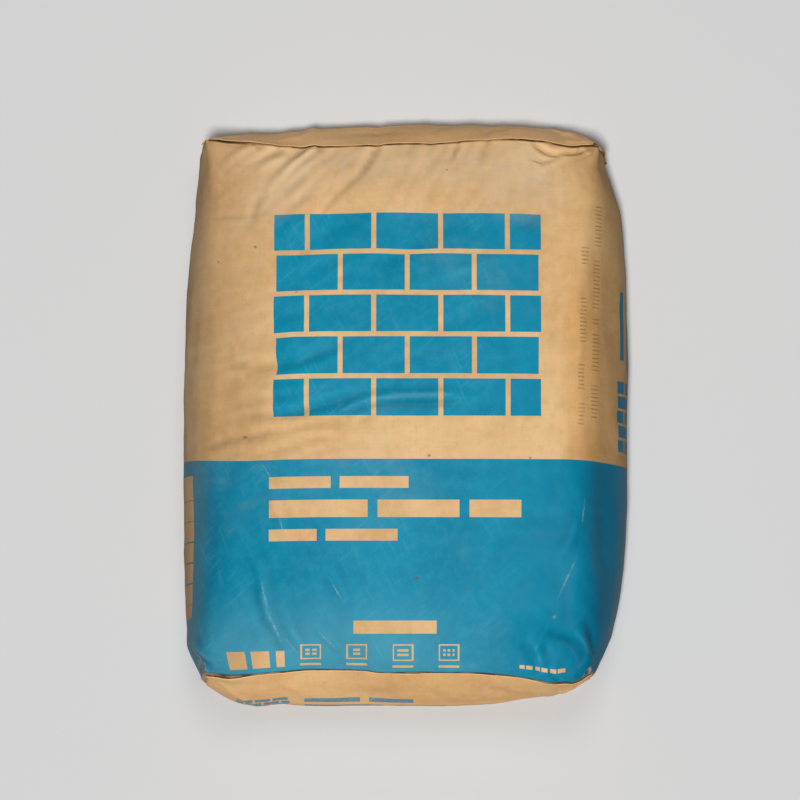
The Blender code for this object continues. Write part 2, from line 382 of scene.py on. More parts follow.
FACE_CREASES = [
    # From the upper fold down to the left
    run_out(-1.3, 4.5, 0.5, (-27, 229), (-38, 205), (-51, 192), (-68, 174), (-84, 150)),
    run_out(1.5, 4.6, 0.5, (-84, 229), (-98, 214), (-108, 203), (-118, 192), (-122, 181)),
    run_out(-1, 4.6, 0.3, (-112, 229), (-126, 219), (-142, 211), (-154, 200)),
    fold(-0.7, 6, 0.3, (-88, 205), (-100, 194), (-112, 187)),
    run_out(0.5, 7, -0.3, (-162, 229), (-166, 211), (-166, 188)),
    fold(-0.35, 4, 0, (-180, 165), (-148, 166), (-114, 168)),
    fold(-0.6, 8, 0, (-96, 178), (-78, 182), (-58, 184)),
    fold(-0.7, 5, 0.3, (-128, 186), (-133, 174), (-138, 158)),
    fold(-1.1, 13, 0, (-40, 178), (-62, 158), (-88, 136), (-110, 118)),
    run_out(1, 4.6, 0.5, (-136, 229), (-148, 221), (-162, 209), (-167, 198)),
    fold(0.7, 5, 0, (-104, 222), (-118, 214), (-132, 202)),
    run_out(-0.8, 3.2, 0.4, (45, 229), (42, 220), (38, 211)),
    run_out(0.7, 7, 0, (16, 229), (12, 214), (4, 200)),
    run_out(-0.6, 6, 0, (72, 229), (66, 212), (58, 200)),
    # The folded pocket at the upper right corner, and the edge of the face below it
    fold(-1, 3, 0.8, (110, 231), (116, 226.5), (122, 223.6), (128, 222), (134, 221.5), (142, 222.5)),
    fold(-0.8, 2.8, 0.8, (136, 223), (143, 224.6), (149, 225.3), (157, 225.5), (163, 226.6), (170, 228.5)),
    fold(0.5, 4, 0, (118, 230.5), (134, 228), (150, 229.5)),
    fold(-0.5, 3.2, 0.6, (112, 215), (122, 213), (130, 215), (137, 218.5), (145, 222)),
    fold(0.9, 3.4, 0, (157, 231), (163, 228), (168, 223)),
    run_out(0.7, 9, 0.2, (171, 229), (163, 195), (157, 160), (154, 120), (156, 80)),
    # Across the upper half
    fold(-1, 11, 0, (58, 180), (28, 155), (-4, 131), (-30, 112)),
    fold(-0.6, 6, 0.2, (124, 171), (112, 161), (98, 150)),
    fold(-0.8, 12, 0, (60, 112), (20, 92), (-30, 76)),
    # Level creases left of the middle
    fold(-1.1, 6.5, 0.4, (-176, 40), (-140, 32), (-108, 31), (-84, 36), (-58, 48), (-40, 58)),
    fold(-1.3, 5.5, 0.5, (-150, -10), (-108, -14), (-80, -7), (-52, 1), (-30, 6)),
    fold(1, 3.8, 0.4, (-62, -13), (-38, 0), (-9, 4), (30, 5), (62, 3)),
    fold(-0.8, 3.6, 0, (-40, -7), (-9, -3), (30, -2), (52, -3)),
    fold(0.6, 3.8, 0, (-47, -20), (-37, -10), (-14, -6)),
    fold(-0.7, 5, 0.3, (-182, -38), (-140, -31), (-104, -22)),
    fold(0.5, 4.5, 0, (-170, -41), (-154, -35), (-136, -33)),
    fold(0.4, 4, 0, (-114, -28), (-70, -27), (-30, -30)),
    # The lower left
    fold(0.9, 4.6, 0.6, (-131, -128), (-126, -150), (-124, -163), (-120, -180), (-115, -193), (-104, -215)),
    fold(-1, 5.5, 0, (-120, -186), (-112, -201), (-106, -216)),
    fold(0.6, 4.4, 0.5, (-104, -186), (-98, -198), (-90, -212)),
    fold(0.4, 4.4, 0.3, (-66, -140), (-58, -157), (-51, -176)),
    fold(0.4, 4.4, 0.3, (-117, -77), (-109, -104), (-102, -130)),
    fold(0.35, 4.4, 0.3, (-82, -187), (-66, -203), (-52, -217)),
    fold(-0.9, 11, 0, (-176, -70), (-170, -120), (-168, -170)),
    fold(0.8, 4.4, 0.4, (-190, -200), (-180, -211), (-168, -224)),
    fold(-0.6, 4, 0, (-186, -212), (-176, -221), (-166, -229)),
    # The folds at the lower right corner
    fold(-2, 6, 0.2, (122, -196), (133, -203), (146, -207), (156, -214), (162, -223)),
    fold(1.2, 5.6, 0.3, (148.5, -195), (158.5, -202), (165.5, -210), (169.5, -219), (170.5, -227)),
    fold(-1.9, 6.5, 0, (155, -184), (167, -195), (175, -207), (178, -219)),
    fold(-1.1, 6, 0.2, (97, -206), (107, -214), (115, -221), (119, -228)),
    fold(0.5, 7, 0.3, (103, -200), (114, -211), (122, -222)),
    fold(-1.1, 5.6, 0.2, (117, -207), (125, -215), (129, -224)),
    run_out(-0.6, 3.4, 0.4, (140, -231), (135, -227), (130, -222)),
    fold(1.1, 15, 0, (84, -176), (112, -176), (140, -172)),
    fold(-0.9, 10, 0, (172, -60), (176, -110), (174, -160)),
    fold(0.7, 5, 0.2, (150, -92), (146, -112), (136, -132)),
    # Drag folds that run from the corners into the long sides
    run_out(0.8, 7, 0.4, (-188, 226), (-208, 204), (-230, 188), (-250, 180)),
    run_out(-0.7, 6, 0.2, (-204, 226), (-222, 210), (-244, 198)),
    run_out(0.8, 7, 0.4, (-274, 224), (-256, 196), (-238, 172)),
    run_out(0.8, 7, -0.4, (-194, -226), (-212, -204), (-236, -192)),
    run_out(-0.6, 6, 0.2, (-268, -226), (-250, -204), (-226, -186)),
    run_out(0.8, 8, 0.3, (-276, -222), (-262, -190), (-244, -160)),
    fold(-0.6, 9, 0, (-236, -40), (-244, 10), (-238, 70)),
    run_out(0.8, 7, -0.4, (196, 226), (214, 202), (238, 190)),
    run_out(-0.7, 6, 0.2, (214, 226), (232, 206), (252, 192)),
    run_out(0.8, 7, -0.4, (276, 222), (258, 192), (240, 176)),
    run_out(0.8, 7, 0.4, (198, -226), (216, -202), (242, -188)),
    run_out(-0.6, 7, 0.2, (270, -226), (252, -200), (226, -180)),
    fold(-0.6, 9, 0, (242, -90), (234, -20), (244, 60)),
]
SAMPLES_PER_SPAN = 8
CREASE_GAIN = 2.7
REACH = 3.0
TAPER_POWER = 0.8


def smooth_line(points):
    """A smooth line through a few points, as many short straight ones."""
    points = np.array(points, float)
    padded = np.vstack([2 * points[0] - points[1], points, 2 * points[-1] - points[-2]])
    line = []
    for first in range(len(points) - 1):
        a, b, c, d = padded[first:first + 4]
        for share in np.linspace(0, 1, SAMPLES_PER_SPAN, endpoint=False):
            line.append(
                0.5 * (2 * b + (c - a) * share + (2 * a - 5 * b + 4 * c - d) * share**2
                       + (3 * b - a - 3 * c + d) * share**3)
            )
    line.append(points[-1])
    return np.array(line)


def measure_from_line(places, line):
    """Signed distance of each place from a line, and how far along the line it is, from 0 to 1."""
    nearest = np.full(len(places), np.inf)
    side = np.zeros(len(places))
    along = np.zeros(len(places))
    for index in range(len(line) - 1):
        step = line[index + 1] - line[index]
        away = places - line[index]
        share = np.clip(away @ step / (step @ step), 0, 1)
        offset = away - share[:, None] * step
        distance = np.hypot(offset[:, 0], offset[:, 1])
        closer = distance < nearest
        nearest[closer] = distance[closer]
        side[closer] = np.sign(step[0] * away[closer, 1] - step[1] * away[closer, 0])
        along[closer] = (index + share[closer]) / (len(line) - 1)
    return nearest * side, along


def crease_push(places, crease):
    """How far out each place on the paper goes for one crease, in millimetres."""
    line = smooth_line(crease.path)
    margin = REACH * crease.width
    low = line.min(0) - margin
    high = line.max(0) + margin
    near = np.flatnonzero(np.all((places > low) & (places < high), axis=1))
    push = np.zeros(len(places))
    if not len(near):
        return push
    distance, along = measure_from_line(places[near], line)
    across = distance / crease.width
    shape = 1 - along if crease.from_start else np.sin(math.pi * np.clip(along, 0.02, 0.98))
    height = CREASE_GAIN * crease.height * shape**TAPER_POWER
    push[near] = height * (1 + crease.lean * across) * np.exp(-across * across)
    return push


# Fields of fine wrinkles that all run one way, as handling leaves them. Sizes in millimetres, angles in
# degrees.

Wrinkles = namedtuple("Wrinkles", "height middle radius angle length width")

WRINKLE_FIELDS = [
    Wrinkles(3.6, (-10, 82), 85, 24, 110, 20),
    Wrinkles(1.2, (-95, 185), 66, 42, 42, 14),
    Wrinkles(1.3, (30, 205), 60, 66, 50, 15),
    Wrinkles(1.7, (-115, 10), 80, 13, 80, 15),
    Wrinkles(0.9, (-95, -155), 75, -64, 90, 15),
    Wrinkles(1.6, (138, -150), 60, -50, 60, 17),
    Wrinkles(1.2, (60, -70), 90, 10, 80, 18),
    Wrinkles(0.7, (140, 90), 75, 82, 90, 17),
    Wrinkles(0.9, (-225, 0), 150, 84, 120, 18),
    Wrinkles(0.9, (225, 0), 150, 96, 120, 18),
]
SOFT_FOLD = 0.35
FAINTEST = 0.03


def wrinkle_push(places, field):
    """Soft crisp-edged waves with long crests, strongest in the middle of the field."""
    away = places - np.array(field.middle)
    strength = np.exp(-np.sum(away * away, axis=1) / field.radius**2)
    push = np.zeros(len(places))
    turn = math.radians(field.angle)
    for index in np.flatnonzero(strength > FAINTEST):
        x, y = away[index]
        along = (x * math.cos(turn) + y * math.sin(turn)) / field.length
        across = (y * math.cos(turn) - x * math.sin(turn)) / field.width
        wave = noise.noise(Vector((along, across, field.angle)))
        crest = 1 - math.sqrt(wave * wave * 4 + SOFT_FOLD**2)
        push[index] = field.height * strength[index] * crest
    return push


def crease_face(sack):
    s, t, r = cube_places(sack.data).T
    around = around_tube(s, r, r < -PANEL_EDGE, np.where(s < 0, -1.0, 1.0))
    places = np.stack([around, t * CREASE_SPAN / 2], 1) / MM
    push = np.zeros(len(places))
    for field in WRINKLE_FIELDS:
        push += wrinkle_push(places, field)
    for crease in FACE_CREASES:
        push += crease_push(places, crease)
    push_out(sack.data, push * MM)


# The outline, set after the photograph. Each line of points gives how far out the paper goes, in
# millimetres, at places across the sack (for the end creases) or along it (for the sides).

TOP_CREASE_OUT = [
    (-176, 4.2), (-162, 1.4), (-145, 0), (-112, -3.2), (-93, -5.6), (-75, -4.6), (-31, -4.4), (5, -2.6),
    (18, -3.8), (36, -2), (60, -0.2), (86, 0.9), (102, 1.2), (121, 0.2), (128, -0.9), (136, -2.3),
    (148, -3.6), (158, -3.4), (172, -3.9),
]
BOTTOM_CREASE_OUT = [
    (-176, -3), (-162, -1.6), (-150, 0), (-112, -2), (-84, -3.8), (-39, -3.6), (-21, -1.4), (25, -1.3),
    (65, -0.8), (95, 1.8), (112, 3.8), (126, 6.2), (132, 6.8), (138, 7.4), (143, 6.4), (148, 5.8), (156, 6),
    (160, 4.8), (165, 2.9), (170, -0.8), (175, -3.5),
]
LEFT_SIDE_OUT = [
    (232, 3), (222, 1.6), (205, 0), (180, -1.6), (160, -1.2), (70, -1), (0, 0.6), (-110, 0.6), (-160, 1.6),
    (-190, 4.2), (-208, 6), (-220, 3.6), (-232, 0.4),
]
RIGHT_SIDE_OUT = [
    (232, -5.4), (222, -5.6), (212, -5), (200, -2.2), (186, 0.8), (170, 1.6), (120, 0.6), (50, -0.6),
    (0, -1.4), (-60, -1.6), (-110, -1.4), (-160, -2.4), (-195, -5.2), (-212, -8.6), (-224, -11.4),
    (-232, -12.4),
]
# How much higher the paper lies at places across the sack: the left shoulder is slack and the right one full
SHOULDERS = [
    (-198, 0), (-184, -4), (-165, -8), (-140, -9), (-115, -5), (-90, -1.5), (-60, 0), (0, 0), (110, 0.6),
    (136, 2.5), (154, 5), (166, 4.6), (178, 1), (198, 0),
]
# How full each end panel is across the sack, as a share of the plain form's bulge
TOP_FULLNESS = [
    (-175, 1.5), (-162, 1.3), (-153, 1.04), (-145, 0.88), (-136, 0.81), (-127, 0.79), (-110, 0.8),
    (-66, 0.82), (-5, 0.89), (38, 0.88), (82, 0.94), (126, 1.07), (150, 1.3), (163, 1.45), (175, 1.5),
]
BOTTOM_FULLNESS = [
    (-175, 1.3), (-153, 1.3), (-136, 1.16), (-110, 0.87), (-90, 0.88), (0, 0.81), (38, 0.84), (70, 0.82),
    (84, 0.78), (97, 0.7), (110, 0.65), (126, 0.65), (140, 0.65), (148, 0.68), (153, 0.62), (158, 0.52),
    (164, 0.56), (170, 0.8), (175, 1),
]
# How far in the foot of the bottom end is tucked under at its right corner
BOTTOM_TUCK = [(-198, 0), (0, 0), (100, 0), (118, 1.5), (134, 4), (150, 8), (165, 12), (175, 14), (198, 15)]
# How far from the creases the ends' outline, the tuck and the shoulders take hold, the cube's levels that go
# with the creases and with the tuck, the heights of the shoulders, and where the sides start to move, in mm
CREASE_REACH = 0.030
TUCK_REACH = 0.05
SHOULDER_REACH = 0.06
CREASE_LEVELS = (-0.3, 0.95)
TUCK_LEVELS = (0.6, -1)
SHOULDER_HEIGHTS = (0.035, 0.095)
SIDE_REACH = (90, 172)


def at_points(values, points):
    """Reads a value at each place from a smooth line through a few points."""
    line = smooth_line(sorted(points))
    return np.interp(values, line[:, 0], line[:, 1])


def shape_outline(sack):
    places = positions(sack.data)
    s, t, r = cube_places(sack.data).T
    x, y = places[:, 0] / MM, places[:, 1] / MM
    on_end = np.abs(t) > PANEL_EDGE
    near_crease = (1 - ramp(from_crease(t), 0, CREASE_REACH)) * ramp(r, *CREASE_LEVELS)
    out = np.where(t > 0, at_points(x, TOP_CREASE_OUT), at_points(x, BOTTOM_CREASE_OUT))
    crease_y = np.abs(places[on_end & (np.abs(r) > PANEL_EDGE), 1]).mean()
    past_crease = np.where(on_end, np.abs(places[:, 1]) - crease_y, 0)
    fullness = np.where(t > 0, at_points(x, TOP_FULLNESS), at_points(x, BOTTOM_FULLNESS))
    places[:, 1] += np.sign(t) * past_crease * (fullness - 1)
    places[:, 1] += np.sign(t) * out * near_crease * MM
    tucked = ramp(r, *TUCK_LEVELS) * (1 - ramp(from_crease(t), 0, TUCK_REACH)) * (t < 0)
    places[:, 1] += at_points(x, BOTTOM_TUCK) * tucked * MM
    held = ramp(places[:, 2], *SHOULDER_HEIGHTS) * ramp(from_crease(t), 0, SHOULDER_REACH)
    places[:, 2] += at_points(x, SHOULDERS) * held * MM
    side_out = np.where(s > 0, at_points(y, RIGHT_SIDE_OUT), at_points(y, LEFT_SIDE_OUT))
    places[:, 0] += np.sign(s) * side_out * ramp(np.abs(x), *SIDE_REACH) * MM
    set_positions(sack.data, places)


EDGE_ROUNDING = 0.024
EDGE_ROUNDS = 14
CREASE_GRIP = 0.008


def round_long_edges(sack):
    """The tube isn't creased along its length, so its edges stay round almost up to the end panels."""
    mesh = sack.data
    places = positions(mesh)
    s, t, r = cube_places(mesh).T
    from_edge = np.hypot((1 - np.abs(s)) * FACE_WIDTH / 2, (1 - np.abs(r)) * END_WIDTH / 2)
    share = (1 - ramp(from_edge, EDGE_ROUNDING / 2, EDGE_ROUNDING)) * ramp(from_crease(t), 0, CREASE_GRIP)
    even = spread_to_neighbours(places, edge_ends(mesh), EDGE_ROUNDS)
    even[:, 1] = places[:, 1]
    set_positions(mesh, places + (even - places) * share[:, None])


# Folds that were in the flat sack before it was filled: the tube's two long folds, and the folded flaps of
# each end, which show through the sheet pasted over them

SIDE_FOLD = 0.0008
SIDE_FOLD_WIDTH = 0.10
PANEL_CREASES = [
    fold(0.8, 2.6, 0.3, (-175, 58), (-148, 30), (-121, 2)),
    fold(0.8, 2.6, -0.3, (-175, -58), (-148, -30), (-121, -2)),
    fold(0.8, 2.6, 0.3, (175, 58), (148, 30), (121, 2)),
    fold(0.8, 2.6, -0.3, (175, -58), (148, -30), (121, -2)),
    fold(0.5, 2.4, 0.8, (-128, 9), (-60, 7), (0, 8), (64, 7), (130, 9)),
    fold(-0.7, 9, 0, (-70, 34), (-30, 28), (12, 36)),
    fold(-0.6, 7, 0.3, (58, 46), (84, 30), (96, 12)),
    fold(0.6, 4, 0.2, (-112, 44), (-96, 36), (-84, 22)),
]
# Over what share of an end panel its creases fade out towards its edges, down and across
PANEL_FADE = (0.08, 0.04)


def press_folds(sack):
    s, t, r = cube_places(sack.data).T
    on_end = np.abs(t) > PANEL_EDGE
    on_side = (np.abs(s) > PANEL_EDGE) & ~on_end
    push = np.where(on_side, SIDE_FOLD * np.exp(-((r / SIDE_FOLD_WIDTH) ** 2)), 0)
    panel = np.stack([s * FACE_WIDTH / 2, r * END_WIDTH / 2], 1) / MM
    inside = np.clip((1 - np.abs(r)) / PANEL_FADE[0], 0, 1) * np.clip((1 - np.abs(s)) / PANEL_FADE[1], 0, 1)
    for crease in PANEL_CREASES:
        push += np.where(on_end, crease_push(panel, crease) * inside * MM, 0)
    push_out(sack.data, push)


BEND_SCALE = 70.0
BEND_ROUNDS = 14
BEHIND_POWER = 12


def store_wear_and_shade(sack):
    """Where the paper is bent: outward bends get rubbed, and inward ones hold dirt and shadow. The end panels
    get painted shade just under their creases.
    """
    mesh = sack.data
    places = positions(mesh)
    ends = edge_ends(mesh)
    length = np.linalg.norm(places[ends[:, 0]] - places[ends[:, 1]], axis=1)
    reach = add_up(ends, length, length) / np.bincount(ends.ravel())
    hollow = np.sum((mean_of_neighbours(places, ends) - places) * read(mesh.vertices, "normal"), axis=1)
    bend = spread_to_neighbours(-2 * hollow / reach**2, ends, 1)
    local = bend - spread_to_neighbours(bend, ends, BEND_ROUNDS)
    store(mesh, "ridge", np.clip(local / BEND_SCALE, 0, 1))
    store(mesh, "valley", np.clip(-local / BEND_SCALE, 0, 1))
    s, t, r = cube_places(mesh).T
    # Painted shade on the end panels just under their creases
    store(mesh, "painted_fold_shade", np.where(np.abs(t) > PANEL_EDGE, np.clip(r, 0, 1) ** BEHIND_POWER, 0))


# Sheets on the end panels


class EndPanel:
    """One end of the finished sack as a regular grid of places, for other paper to lie on."""

    def __init__(self, sack, end):
        cube = cube_places(sack.data).round(4)
        on_end = cube[:, 1] * end > PANEL_EDGE
        cube = cube[on_end]
        order = np.lexsort((cube[:, 0], cube[:, 2]))
        self.end = end
        self.across = np.unique(cube[:, 0])
        self.high = np.unique(cube[:, 2])
        self.places = positions(sack.data)[on_end][order].reshape(len(self.high), len(self.across), 3)
        out = np.cross(np.gradient(self.places, axis=1), np.gradient(self.places, axis=0)) * -end
        self.normals = out / np.linalg.norm(out, axis=2)[:, :, None]

    def point(self, s, r, lift):
        """The place at a height over the panel. Beyond the panel's edge the paper runs straight on."""
        column, right = cell_of(self.across, s)
        row, up = cell_of(self.high, r)
        result = []
        for grid in (self.places, self.normals):
            low = grid[row, column] * (1 - right) + grid[row, column + 1] * right
            top = grid[row + 1, column] * (1 - right) + grid[row + 1, column + 1] * right
            result.append(low * (1 - up) + top * up)
        return result[0] + result[1] * lift[:, None]


def cell_of(lines, values):
    """Which cell between the lines each value is in, and how far through it, as a column."""
    index = np.clip(np.searchsorted(lines, values) - 1, 0, len(lines) - 2)
    return index, ((values - lines[index]) / (lines[index + 1] - lines[index]))[:, None]


def sheet_mesh(name, s, r, places, closed=False):
    """A mesh of cells from a regular grid of places, with its paper coordinates."""
    rows, columns = s.shape
    bm = bmesh.new()
    verts = [bm.verts.new(place) for place in places]
    layer = bm.loops.layers.uv.new("paper")
    for row in range(rows if closed else rows - 1):
        below, above = row * columns, (row + 1) % rows * columns
        for column in range(columns - 1):
            corners = (below + column, below + column + 1, above + column + 1, above + column)
            face = bm.faces.new([verts[corner] for corner in corners])
            for loop, corner in zip(face.loops, corners):
                loop[layer].uv = (s.flat[corner] * FACE_WIDTH / 2, r.flat[corner] * END_WIDTH / 2)
    bm.normal_update()
    if closed:
        bmesh.ops.recalc_face_normals(bm, faces=bm.faces)
    return mesh_from(bm, name)


PASTE_GAP = 0.0003
PATCH_THICKNESS = 0.0004
PATCH_REACH_ACROSS = 0.975
PATCH_REACH_DOWN = -0.86
PATCH_CELLS = (150, 46)
# The upper cells are a little lower than the others
PATCH_ROW_POWER = 0.8
# How much a patch's lower edge and its two sides waver, as shares of half the panel, and over how many mm
PATCH_WAVER = ((0.012, 22), (0.004, 9))
# How the rim of a patch curls up, over what share of the patch, and how long and high its waves are
RIM_CURL = 0.0007
RIM_WIDTH = 0.03
RIM_WAVES = (16, 0.25)
LIP_DEPTH = 0.20
LIP_POWER = 1.3
LIP_RISE = 0.0010
# How far the upper corners of a patch stick out past the panel, as shares of half the panel's width
EAR_FROM = 0.90
EAR_FOOT = 0.86
EAR_BEND = 0.995
EAR_DROP = 0.5
TOP_EARS = (0.065, 0.0)
BOTTOM_EARS = (0.02, 0.02)
# Where the valve sleeve lies on its panel, and how gently the patch comes down beside it
SLEEVE_FROM = 0.84
SLEEVE_TO = 1.014
SLEEVE_TOP = 0.86
SLEEVE_LIFT = 0.0013
STEP_ACROSS = 0.03
STEP_UP = 0.1
# How far the patch's upper edge stands off the crease, in millimetres, at places across the sack
TOP_LIP_OUT = [
    (-172, 0.9), (-155, 1.6), (-140, 1.3), (-125, 1), (-90, 0.8), (-60, 0.5), (-20, 0.45), (8, 0.5),
    (24, 0.3), (38, 0.4), (60, 0.7), (90, 0.9), (112, 1), (124, 0.9), (138, 1.3), (160, 1.2), (172, 0.8),
]
BOTTOM_LIP_OUT = [
    (-172, 2.6), (-158, 3.2), (-146, 2.8), (-134, 1.4), (-120, 0.9), (-100, 0.7), (-80, 0.4), (-40, 0.45),
    (-10, 0.6), (8, 1.1), (20, 0.4), (60, 0.5), (74, 0.9), (86, 0.3), (100, 0.3), (112, 0.5), (128, 0.9),
    (150, 1.3), (172, 0.9),
]


def edge_noise(values, seed, size):
    return np.array([noise.noise(Vector((value / size, seed, 0.5))) for value in values])


def make_patch(name, panel, lip_out, ears, over_sleeve):
    """The cover sheet of an end. It is pasted flat, and its upper edge has come away from the crease."""
    columns, rows = PATCH_CELLS
    foot, flanks = PATCH_WAVER
    share = np.linspace(-1, 1, columns + 1)
    s, rise = np.meshgrid(share * PATCH_REACH_ACROSS, np.linspace(0, 1, rows + 1) ** PATCH_ROW_POWER)
    top = 1 + LIP_RISE / (END_WIDTH / 2)
    bottom = PATCH_REACH_DOWN + foot[0] * edge_noise(s[0] * 175, panel.end, foot[1])[None, :]
    r = bottom + (top - bottom) * rise
    s = s * (1 + flanks[0] * edge_noise(r[:, 0] * 55, 4 + panel.end, flanks[1])[:, None])
    left_ear, right_ear = (size * ramp(r, EAR_FOOT, 1) for size in ears)
    s = s - left_ear * ramp(-s, EAR_FROM, 1) + right_ear * ramp(s, EAR_FROM, 1)
    edge = np.minimum(1 - np.abs(share)[None, :].repeat(rows + 1, 0), rise).ravel()
    flat_s, flat_r = s.ravel(), r.ravel()
    x = flat_s * FACE_WIDTH / 2 / MM
    lift = PASTE_GAP + at_points(x, lip_out) * MM * ramp(flat_r, 1 - LIP_DEPTH, 1) ** LIP_POWER
    waves = [
        noise.noise(Vector((a / RIM_WAVES[0], b / RIM_WAVES[1], panel.end))) for a, b in zip(x, flat_r)
    ]
    lift += RIM_CURL * (0.5 + 0.5 * np.array(waves)) * (1 - ramp(edge, 0, RIM_WIDTH))
    if over_sleeve:
        over = ramp(flat_s, SLEEVE_FROM - STEP_ACROSS, SLEEVE_FROM)
        over *= 1 - ramp(flat_r, SLEEVE_TOP, SLEEVE_TOP + STEP_UP)
        lift += (SLEEVE_LIFT + PASTE_GAP) * over
    places = panel.point(flat_s, np.minimum(flat_r, 1), lift)
    places[:, 2] += np.maximum(flat_r - 1, 0) * END_WIDTH / 2
    past_side = np.maximum(np.abs(flat_s) - EAR_BEND, 0) * FACE_WIDTH / 2
    places += past_side[:, None] * np.array([0, -panel.end, -EAR_DROP])
    places[:, 2] = np.maximum(places[:, 2], PATCH_THICKNESS)
    mesh = sheet_mesh(name, s, r, places)
    if panel.end > 0:
        mesh.flip_normals()
    return thickened(new_object(name, mesh), PATCH_THICKNESS, 1)


SLEEVE_CELLS = (16, 20)
SLEEVE_BOTTOM = -0.80
SLEEVE_PLY = 0.00035
# The mouth of the sleeve: from where on it gapes and how far, how wavy its walls are, and how uneven its cut
MOUTH_FROM = 0.95
MOUTH_OPEN = 0.0026
MOUTH_POWER = 0.7
WALL_WAVES = (0.0004, 17, 0.96)
CUT_WAVES = (0.006, 7)
PLY_GAP = 0.0003


def make_sleeve(name, panel):
    """The flat valve tube, pressed between the panel and its patch. Its mouth gapes a little."""
    columns, rows = SLEEVE_CELLS
    up = np.linspace(SLEEVE_BOTTOM, SLEEVE_TOP, rows + 1)
    outer = np.concatenate([np.ones(rows + 1), np.zeros(rows - 1)])
    outer[[0, rows]] = 0.5
    s, r = np.meshgrid(np.linspace(SLEEVE_FROM, SLEEVE_TO, columns + 1), [*up, *up[::-1][1:-1]])
    share = (r - SLEEVE_BOTTOM) / (SLEEVE_TOP - SLEEVE_BOTTOM)
    at_mouth = ramp(s, MOUTH_FROM, SLEEVE_TO)
    gape = MOUTH_OPEN * at_mouth * np.sin(math.pi * np.clip(share, 0, 1)) ** MOUTH_POWER
    height, waves, start = WALL_WAVES
    wavy = height * np.sin(share * waves) * ramp(s, start, SLEEVE_TO)
    lift = PASTE_GAP + outer[:, None] * (SLEEVE_LIFT - PASTE_GAP - PLY_GAP + gape) + wavy
    s = s - CUT_WAVES[0] * np.cos(share * CUT_WAVES[1]) * at_mouth
    places = panel.point(s.ravel(), r.ravel(), lift.ravel())
    return thickened(new_object(name, sheet_mesh(name, s, r, places, closed=True)), SLEEVE_PLY, -1)


# Materials


class Value:
    """What a node puts out. Sums, differences and products of values become Math nodes."""

    def __init__(self, nodes, socket):
        self.nodes = nodes
        self.socket = socket

    def __add__(self, other):
        return self.nodes.math("ADD", self, other)

    def __sub__(self, other):
        return self.nodes.math("SUBTRACT", self, other)

    def __rsub__(self, other):
        return self.nodes.math("SUBTRACT", other, self)

    def __mul__(self, other):
        return self.nodes.math("MULTIPLY", self, other)

    def __abs__(self):
        return self.nodes.math("ABSOLUTE", self)


def largest(first, *others):
    for other in others:
        first = first.nodes.math("MAXIMUM", first, other)
    return first


class Nodes:
    """Adds nodes to a material. What is fed to them is a number, a vector, a colour or a value."""

    def __init__(self, name):
        self.material = bpy.data.materials.new(name)
        self.material.use_nodes = True
        self.tree = self.material.node_tree
        self.shader = self.tree.nodes["Principled BSDF"]
        self.place = self.add("UVMap", {}, uv_map="paper")

    def feed(self, socket, value):
        if isinstance(value, Value):
            self.tree.links.new(value.socket, socket)
        else:
            socket.default_value = value

    def add(self, kind, inputs, output=0, **settings):
        """Adds a node and gives one of its outputs."""
        node = self.tree.nodes.new("ShaderNode" + kind)
        for key, value in settings.items():
            setattr(node, key, value)
        for key, value in inputs.items():
            self.feed(node.inputs[key], value)
        return Value(self, node.outputs[output])

    def math(self, operation, first, second=0.0):
        return self.add("Math", {0: first, 1: second}, operation=operation)

    def vector(self, operation, first, second):
        return self.add("VectorMath", {0: first, 1: second}, operation=operation)

    def split(self, place):
        node = self.add("SeparateXYZ", {0: place}).socket.node
        return Value(self, node.outputs[0]), Value(self, node.outputs[1])

    def noise(self, scales, detail, roughness, shift=0.0, distortion=0.0):
        """Noise given by how many of its lumps go on a metre, across the sack and along it."""
        place = self.vector("ADD", self.vector("MULTIPLY", self.place, (*scales, 1)), (shift,) * 3)
        inputs = {"Vector": place, "Scale": 1.0, "Detail": detail, "Roughness": roughness}
        return self.add("TexNoise", {**inputs, "Distortion": distortion})

    def patches(self, scales, detail, roughness, low, high, **more):
        """Noise as soft-edged patches: 0 where it is under one level and 1 where it is over another."""
        return self.span(self.noise(scales, detail, roughness, **more), low, high)

    def wander(self, scale):
        """A vector that changes from place to place, from 0 to 1 each way."""
        place = self.vector("MULTIPLY", self.place, (scale, scale, 1))
        return self.add("TexNoise", {"Vector": place, "Detail": 2.0}, output=1)

    def span(self, value, low, high, to_low=0.0, to_high=1.0):
        inputs = {0: value, 1: low, 2: high, 3: to_low, 4: to_high}
        return self.add("MapRange", inputs, interpolation_type="SMOOTHSTEP")

    def mix(self, share, first, second, blend="MIX"):
        return self.add("Mix", {0: share, 6: first, 7: second}, 2, data_type="RGBA", blend_type=blend)

    def attribute(self, name):
        return self.add("Attribute", {}, "Fac", attribute_name=name)

    def shade(self, color, amount):
        """Makes a colour lighter or darker by a factor."""
        grey = self.add("CombineColor", {0: amount, 1: amount, 2: amount})
        return self.mix(1.0, color, grey, "MULTIPLY")

    def finish(self, color, roughness, height, specular):
        self.feed(self.shader.inputs["Base Color"], color)
        self.feed(self.shader.inputs["Roughness"], roughness)
        bump = self.add("Bump", {"Strength": 1.0, "Distance": 1.0, "Height": height})
        self.feed(self.shader.inputs["Normal"], bump)
        self.shader.inputs["Specular IOR Level"].default_value = specular
        return self.material


def srgb(red, green, blue):
    """A colour given the way a picture states it, from 0 to 255."""
    values = []
    for value in (red, green, blue):
        share = value / 255
        values.append(share / 12.92 if share <= 0.04045 else ((share + 0.055) / 1.055) ** 2.4)
    return (*values, 1.0)


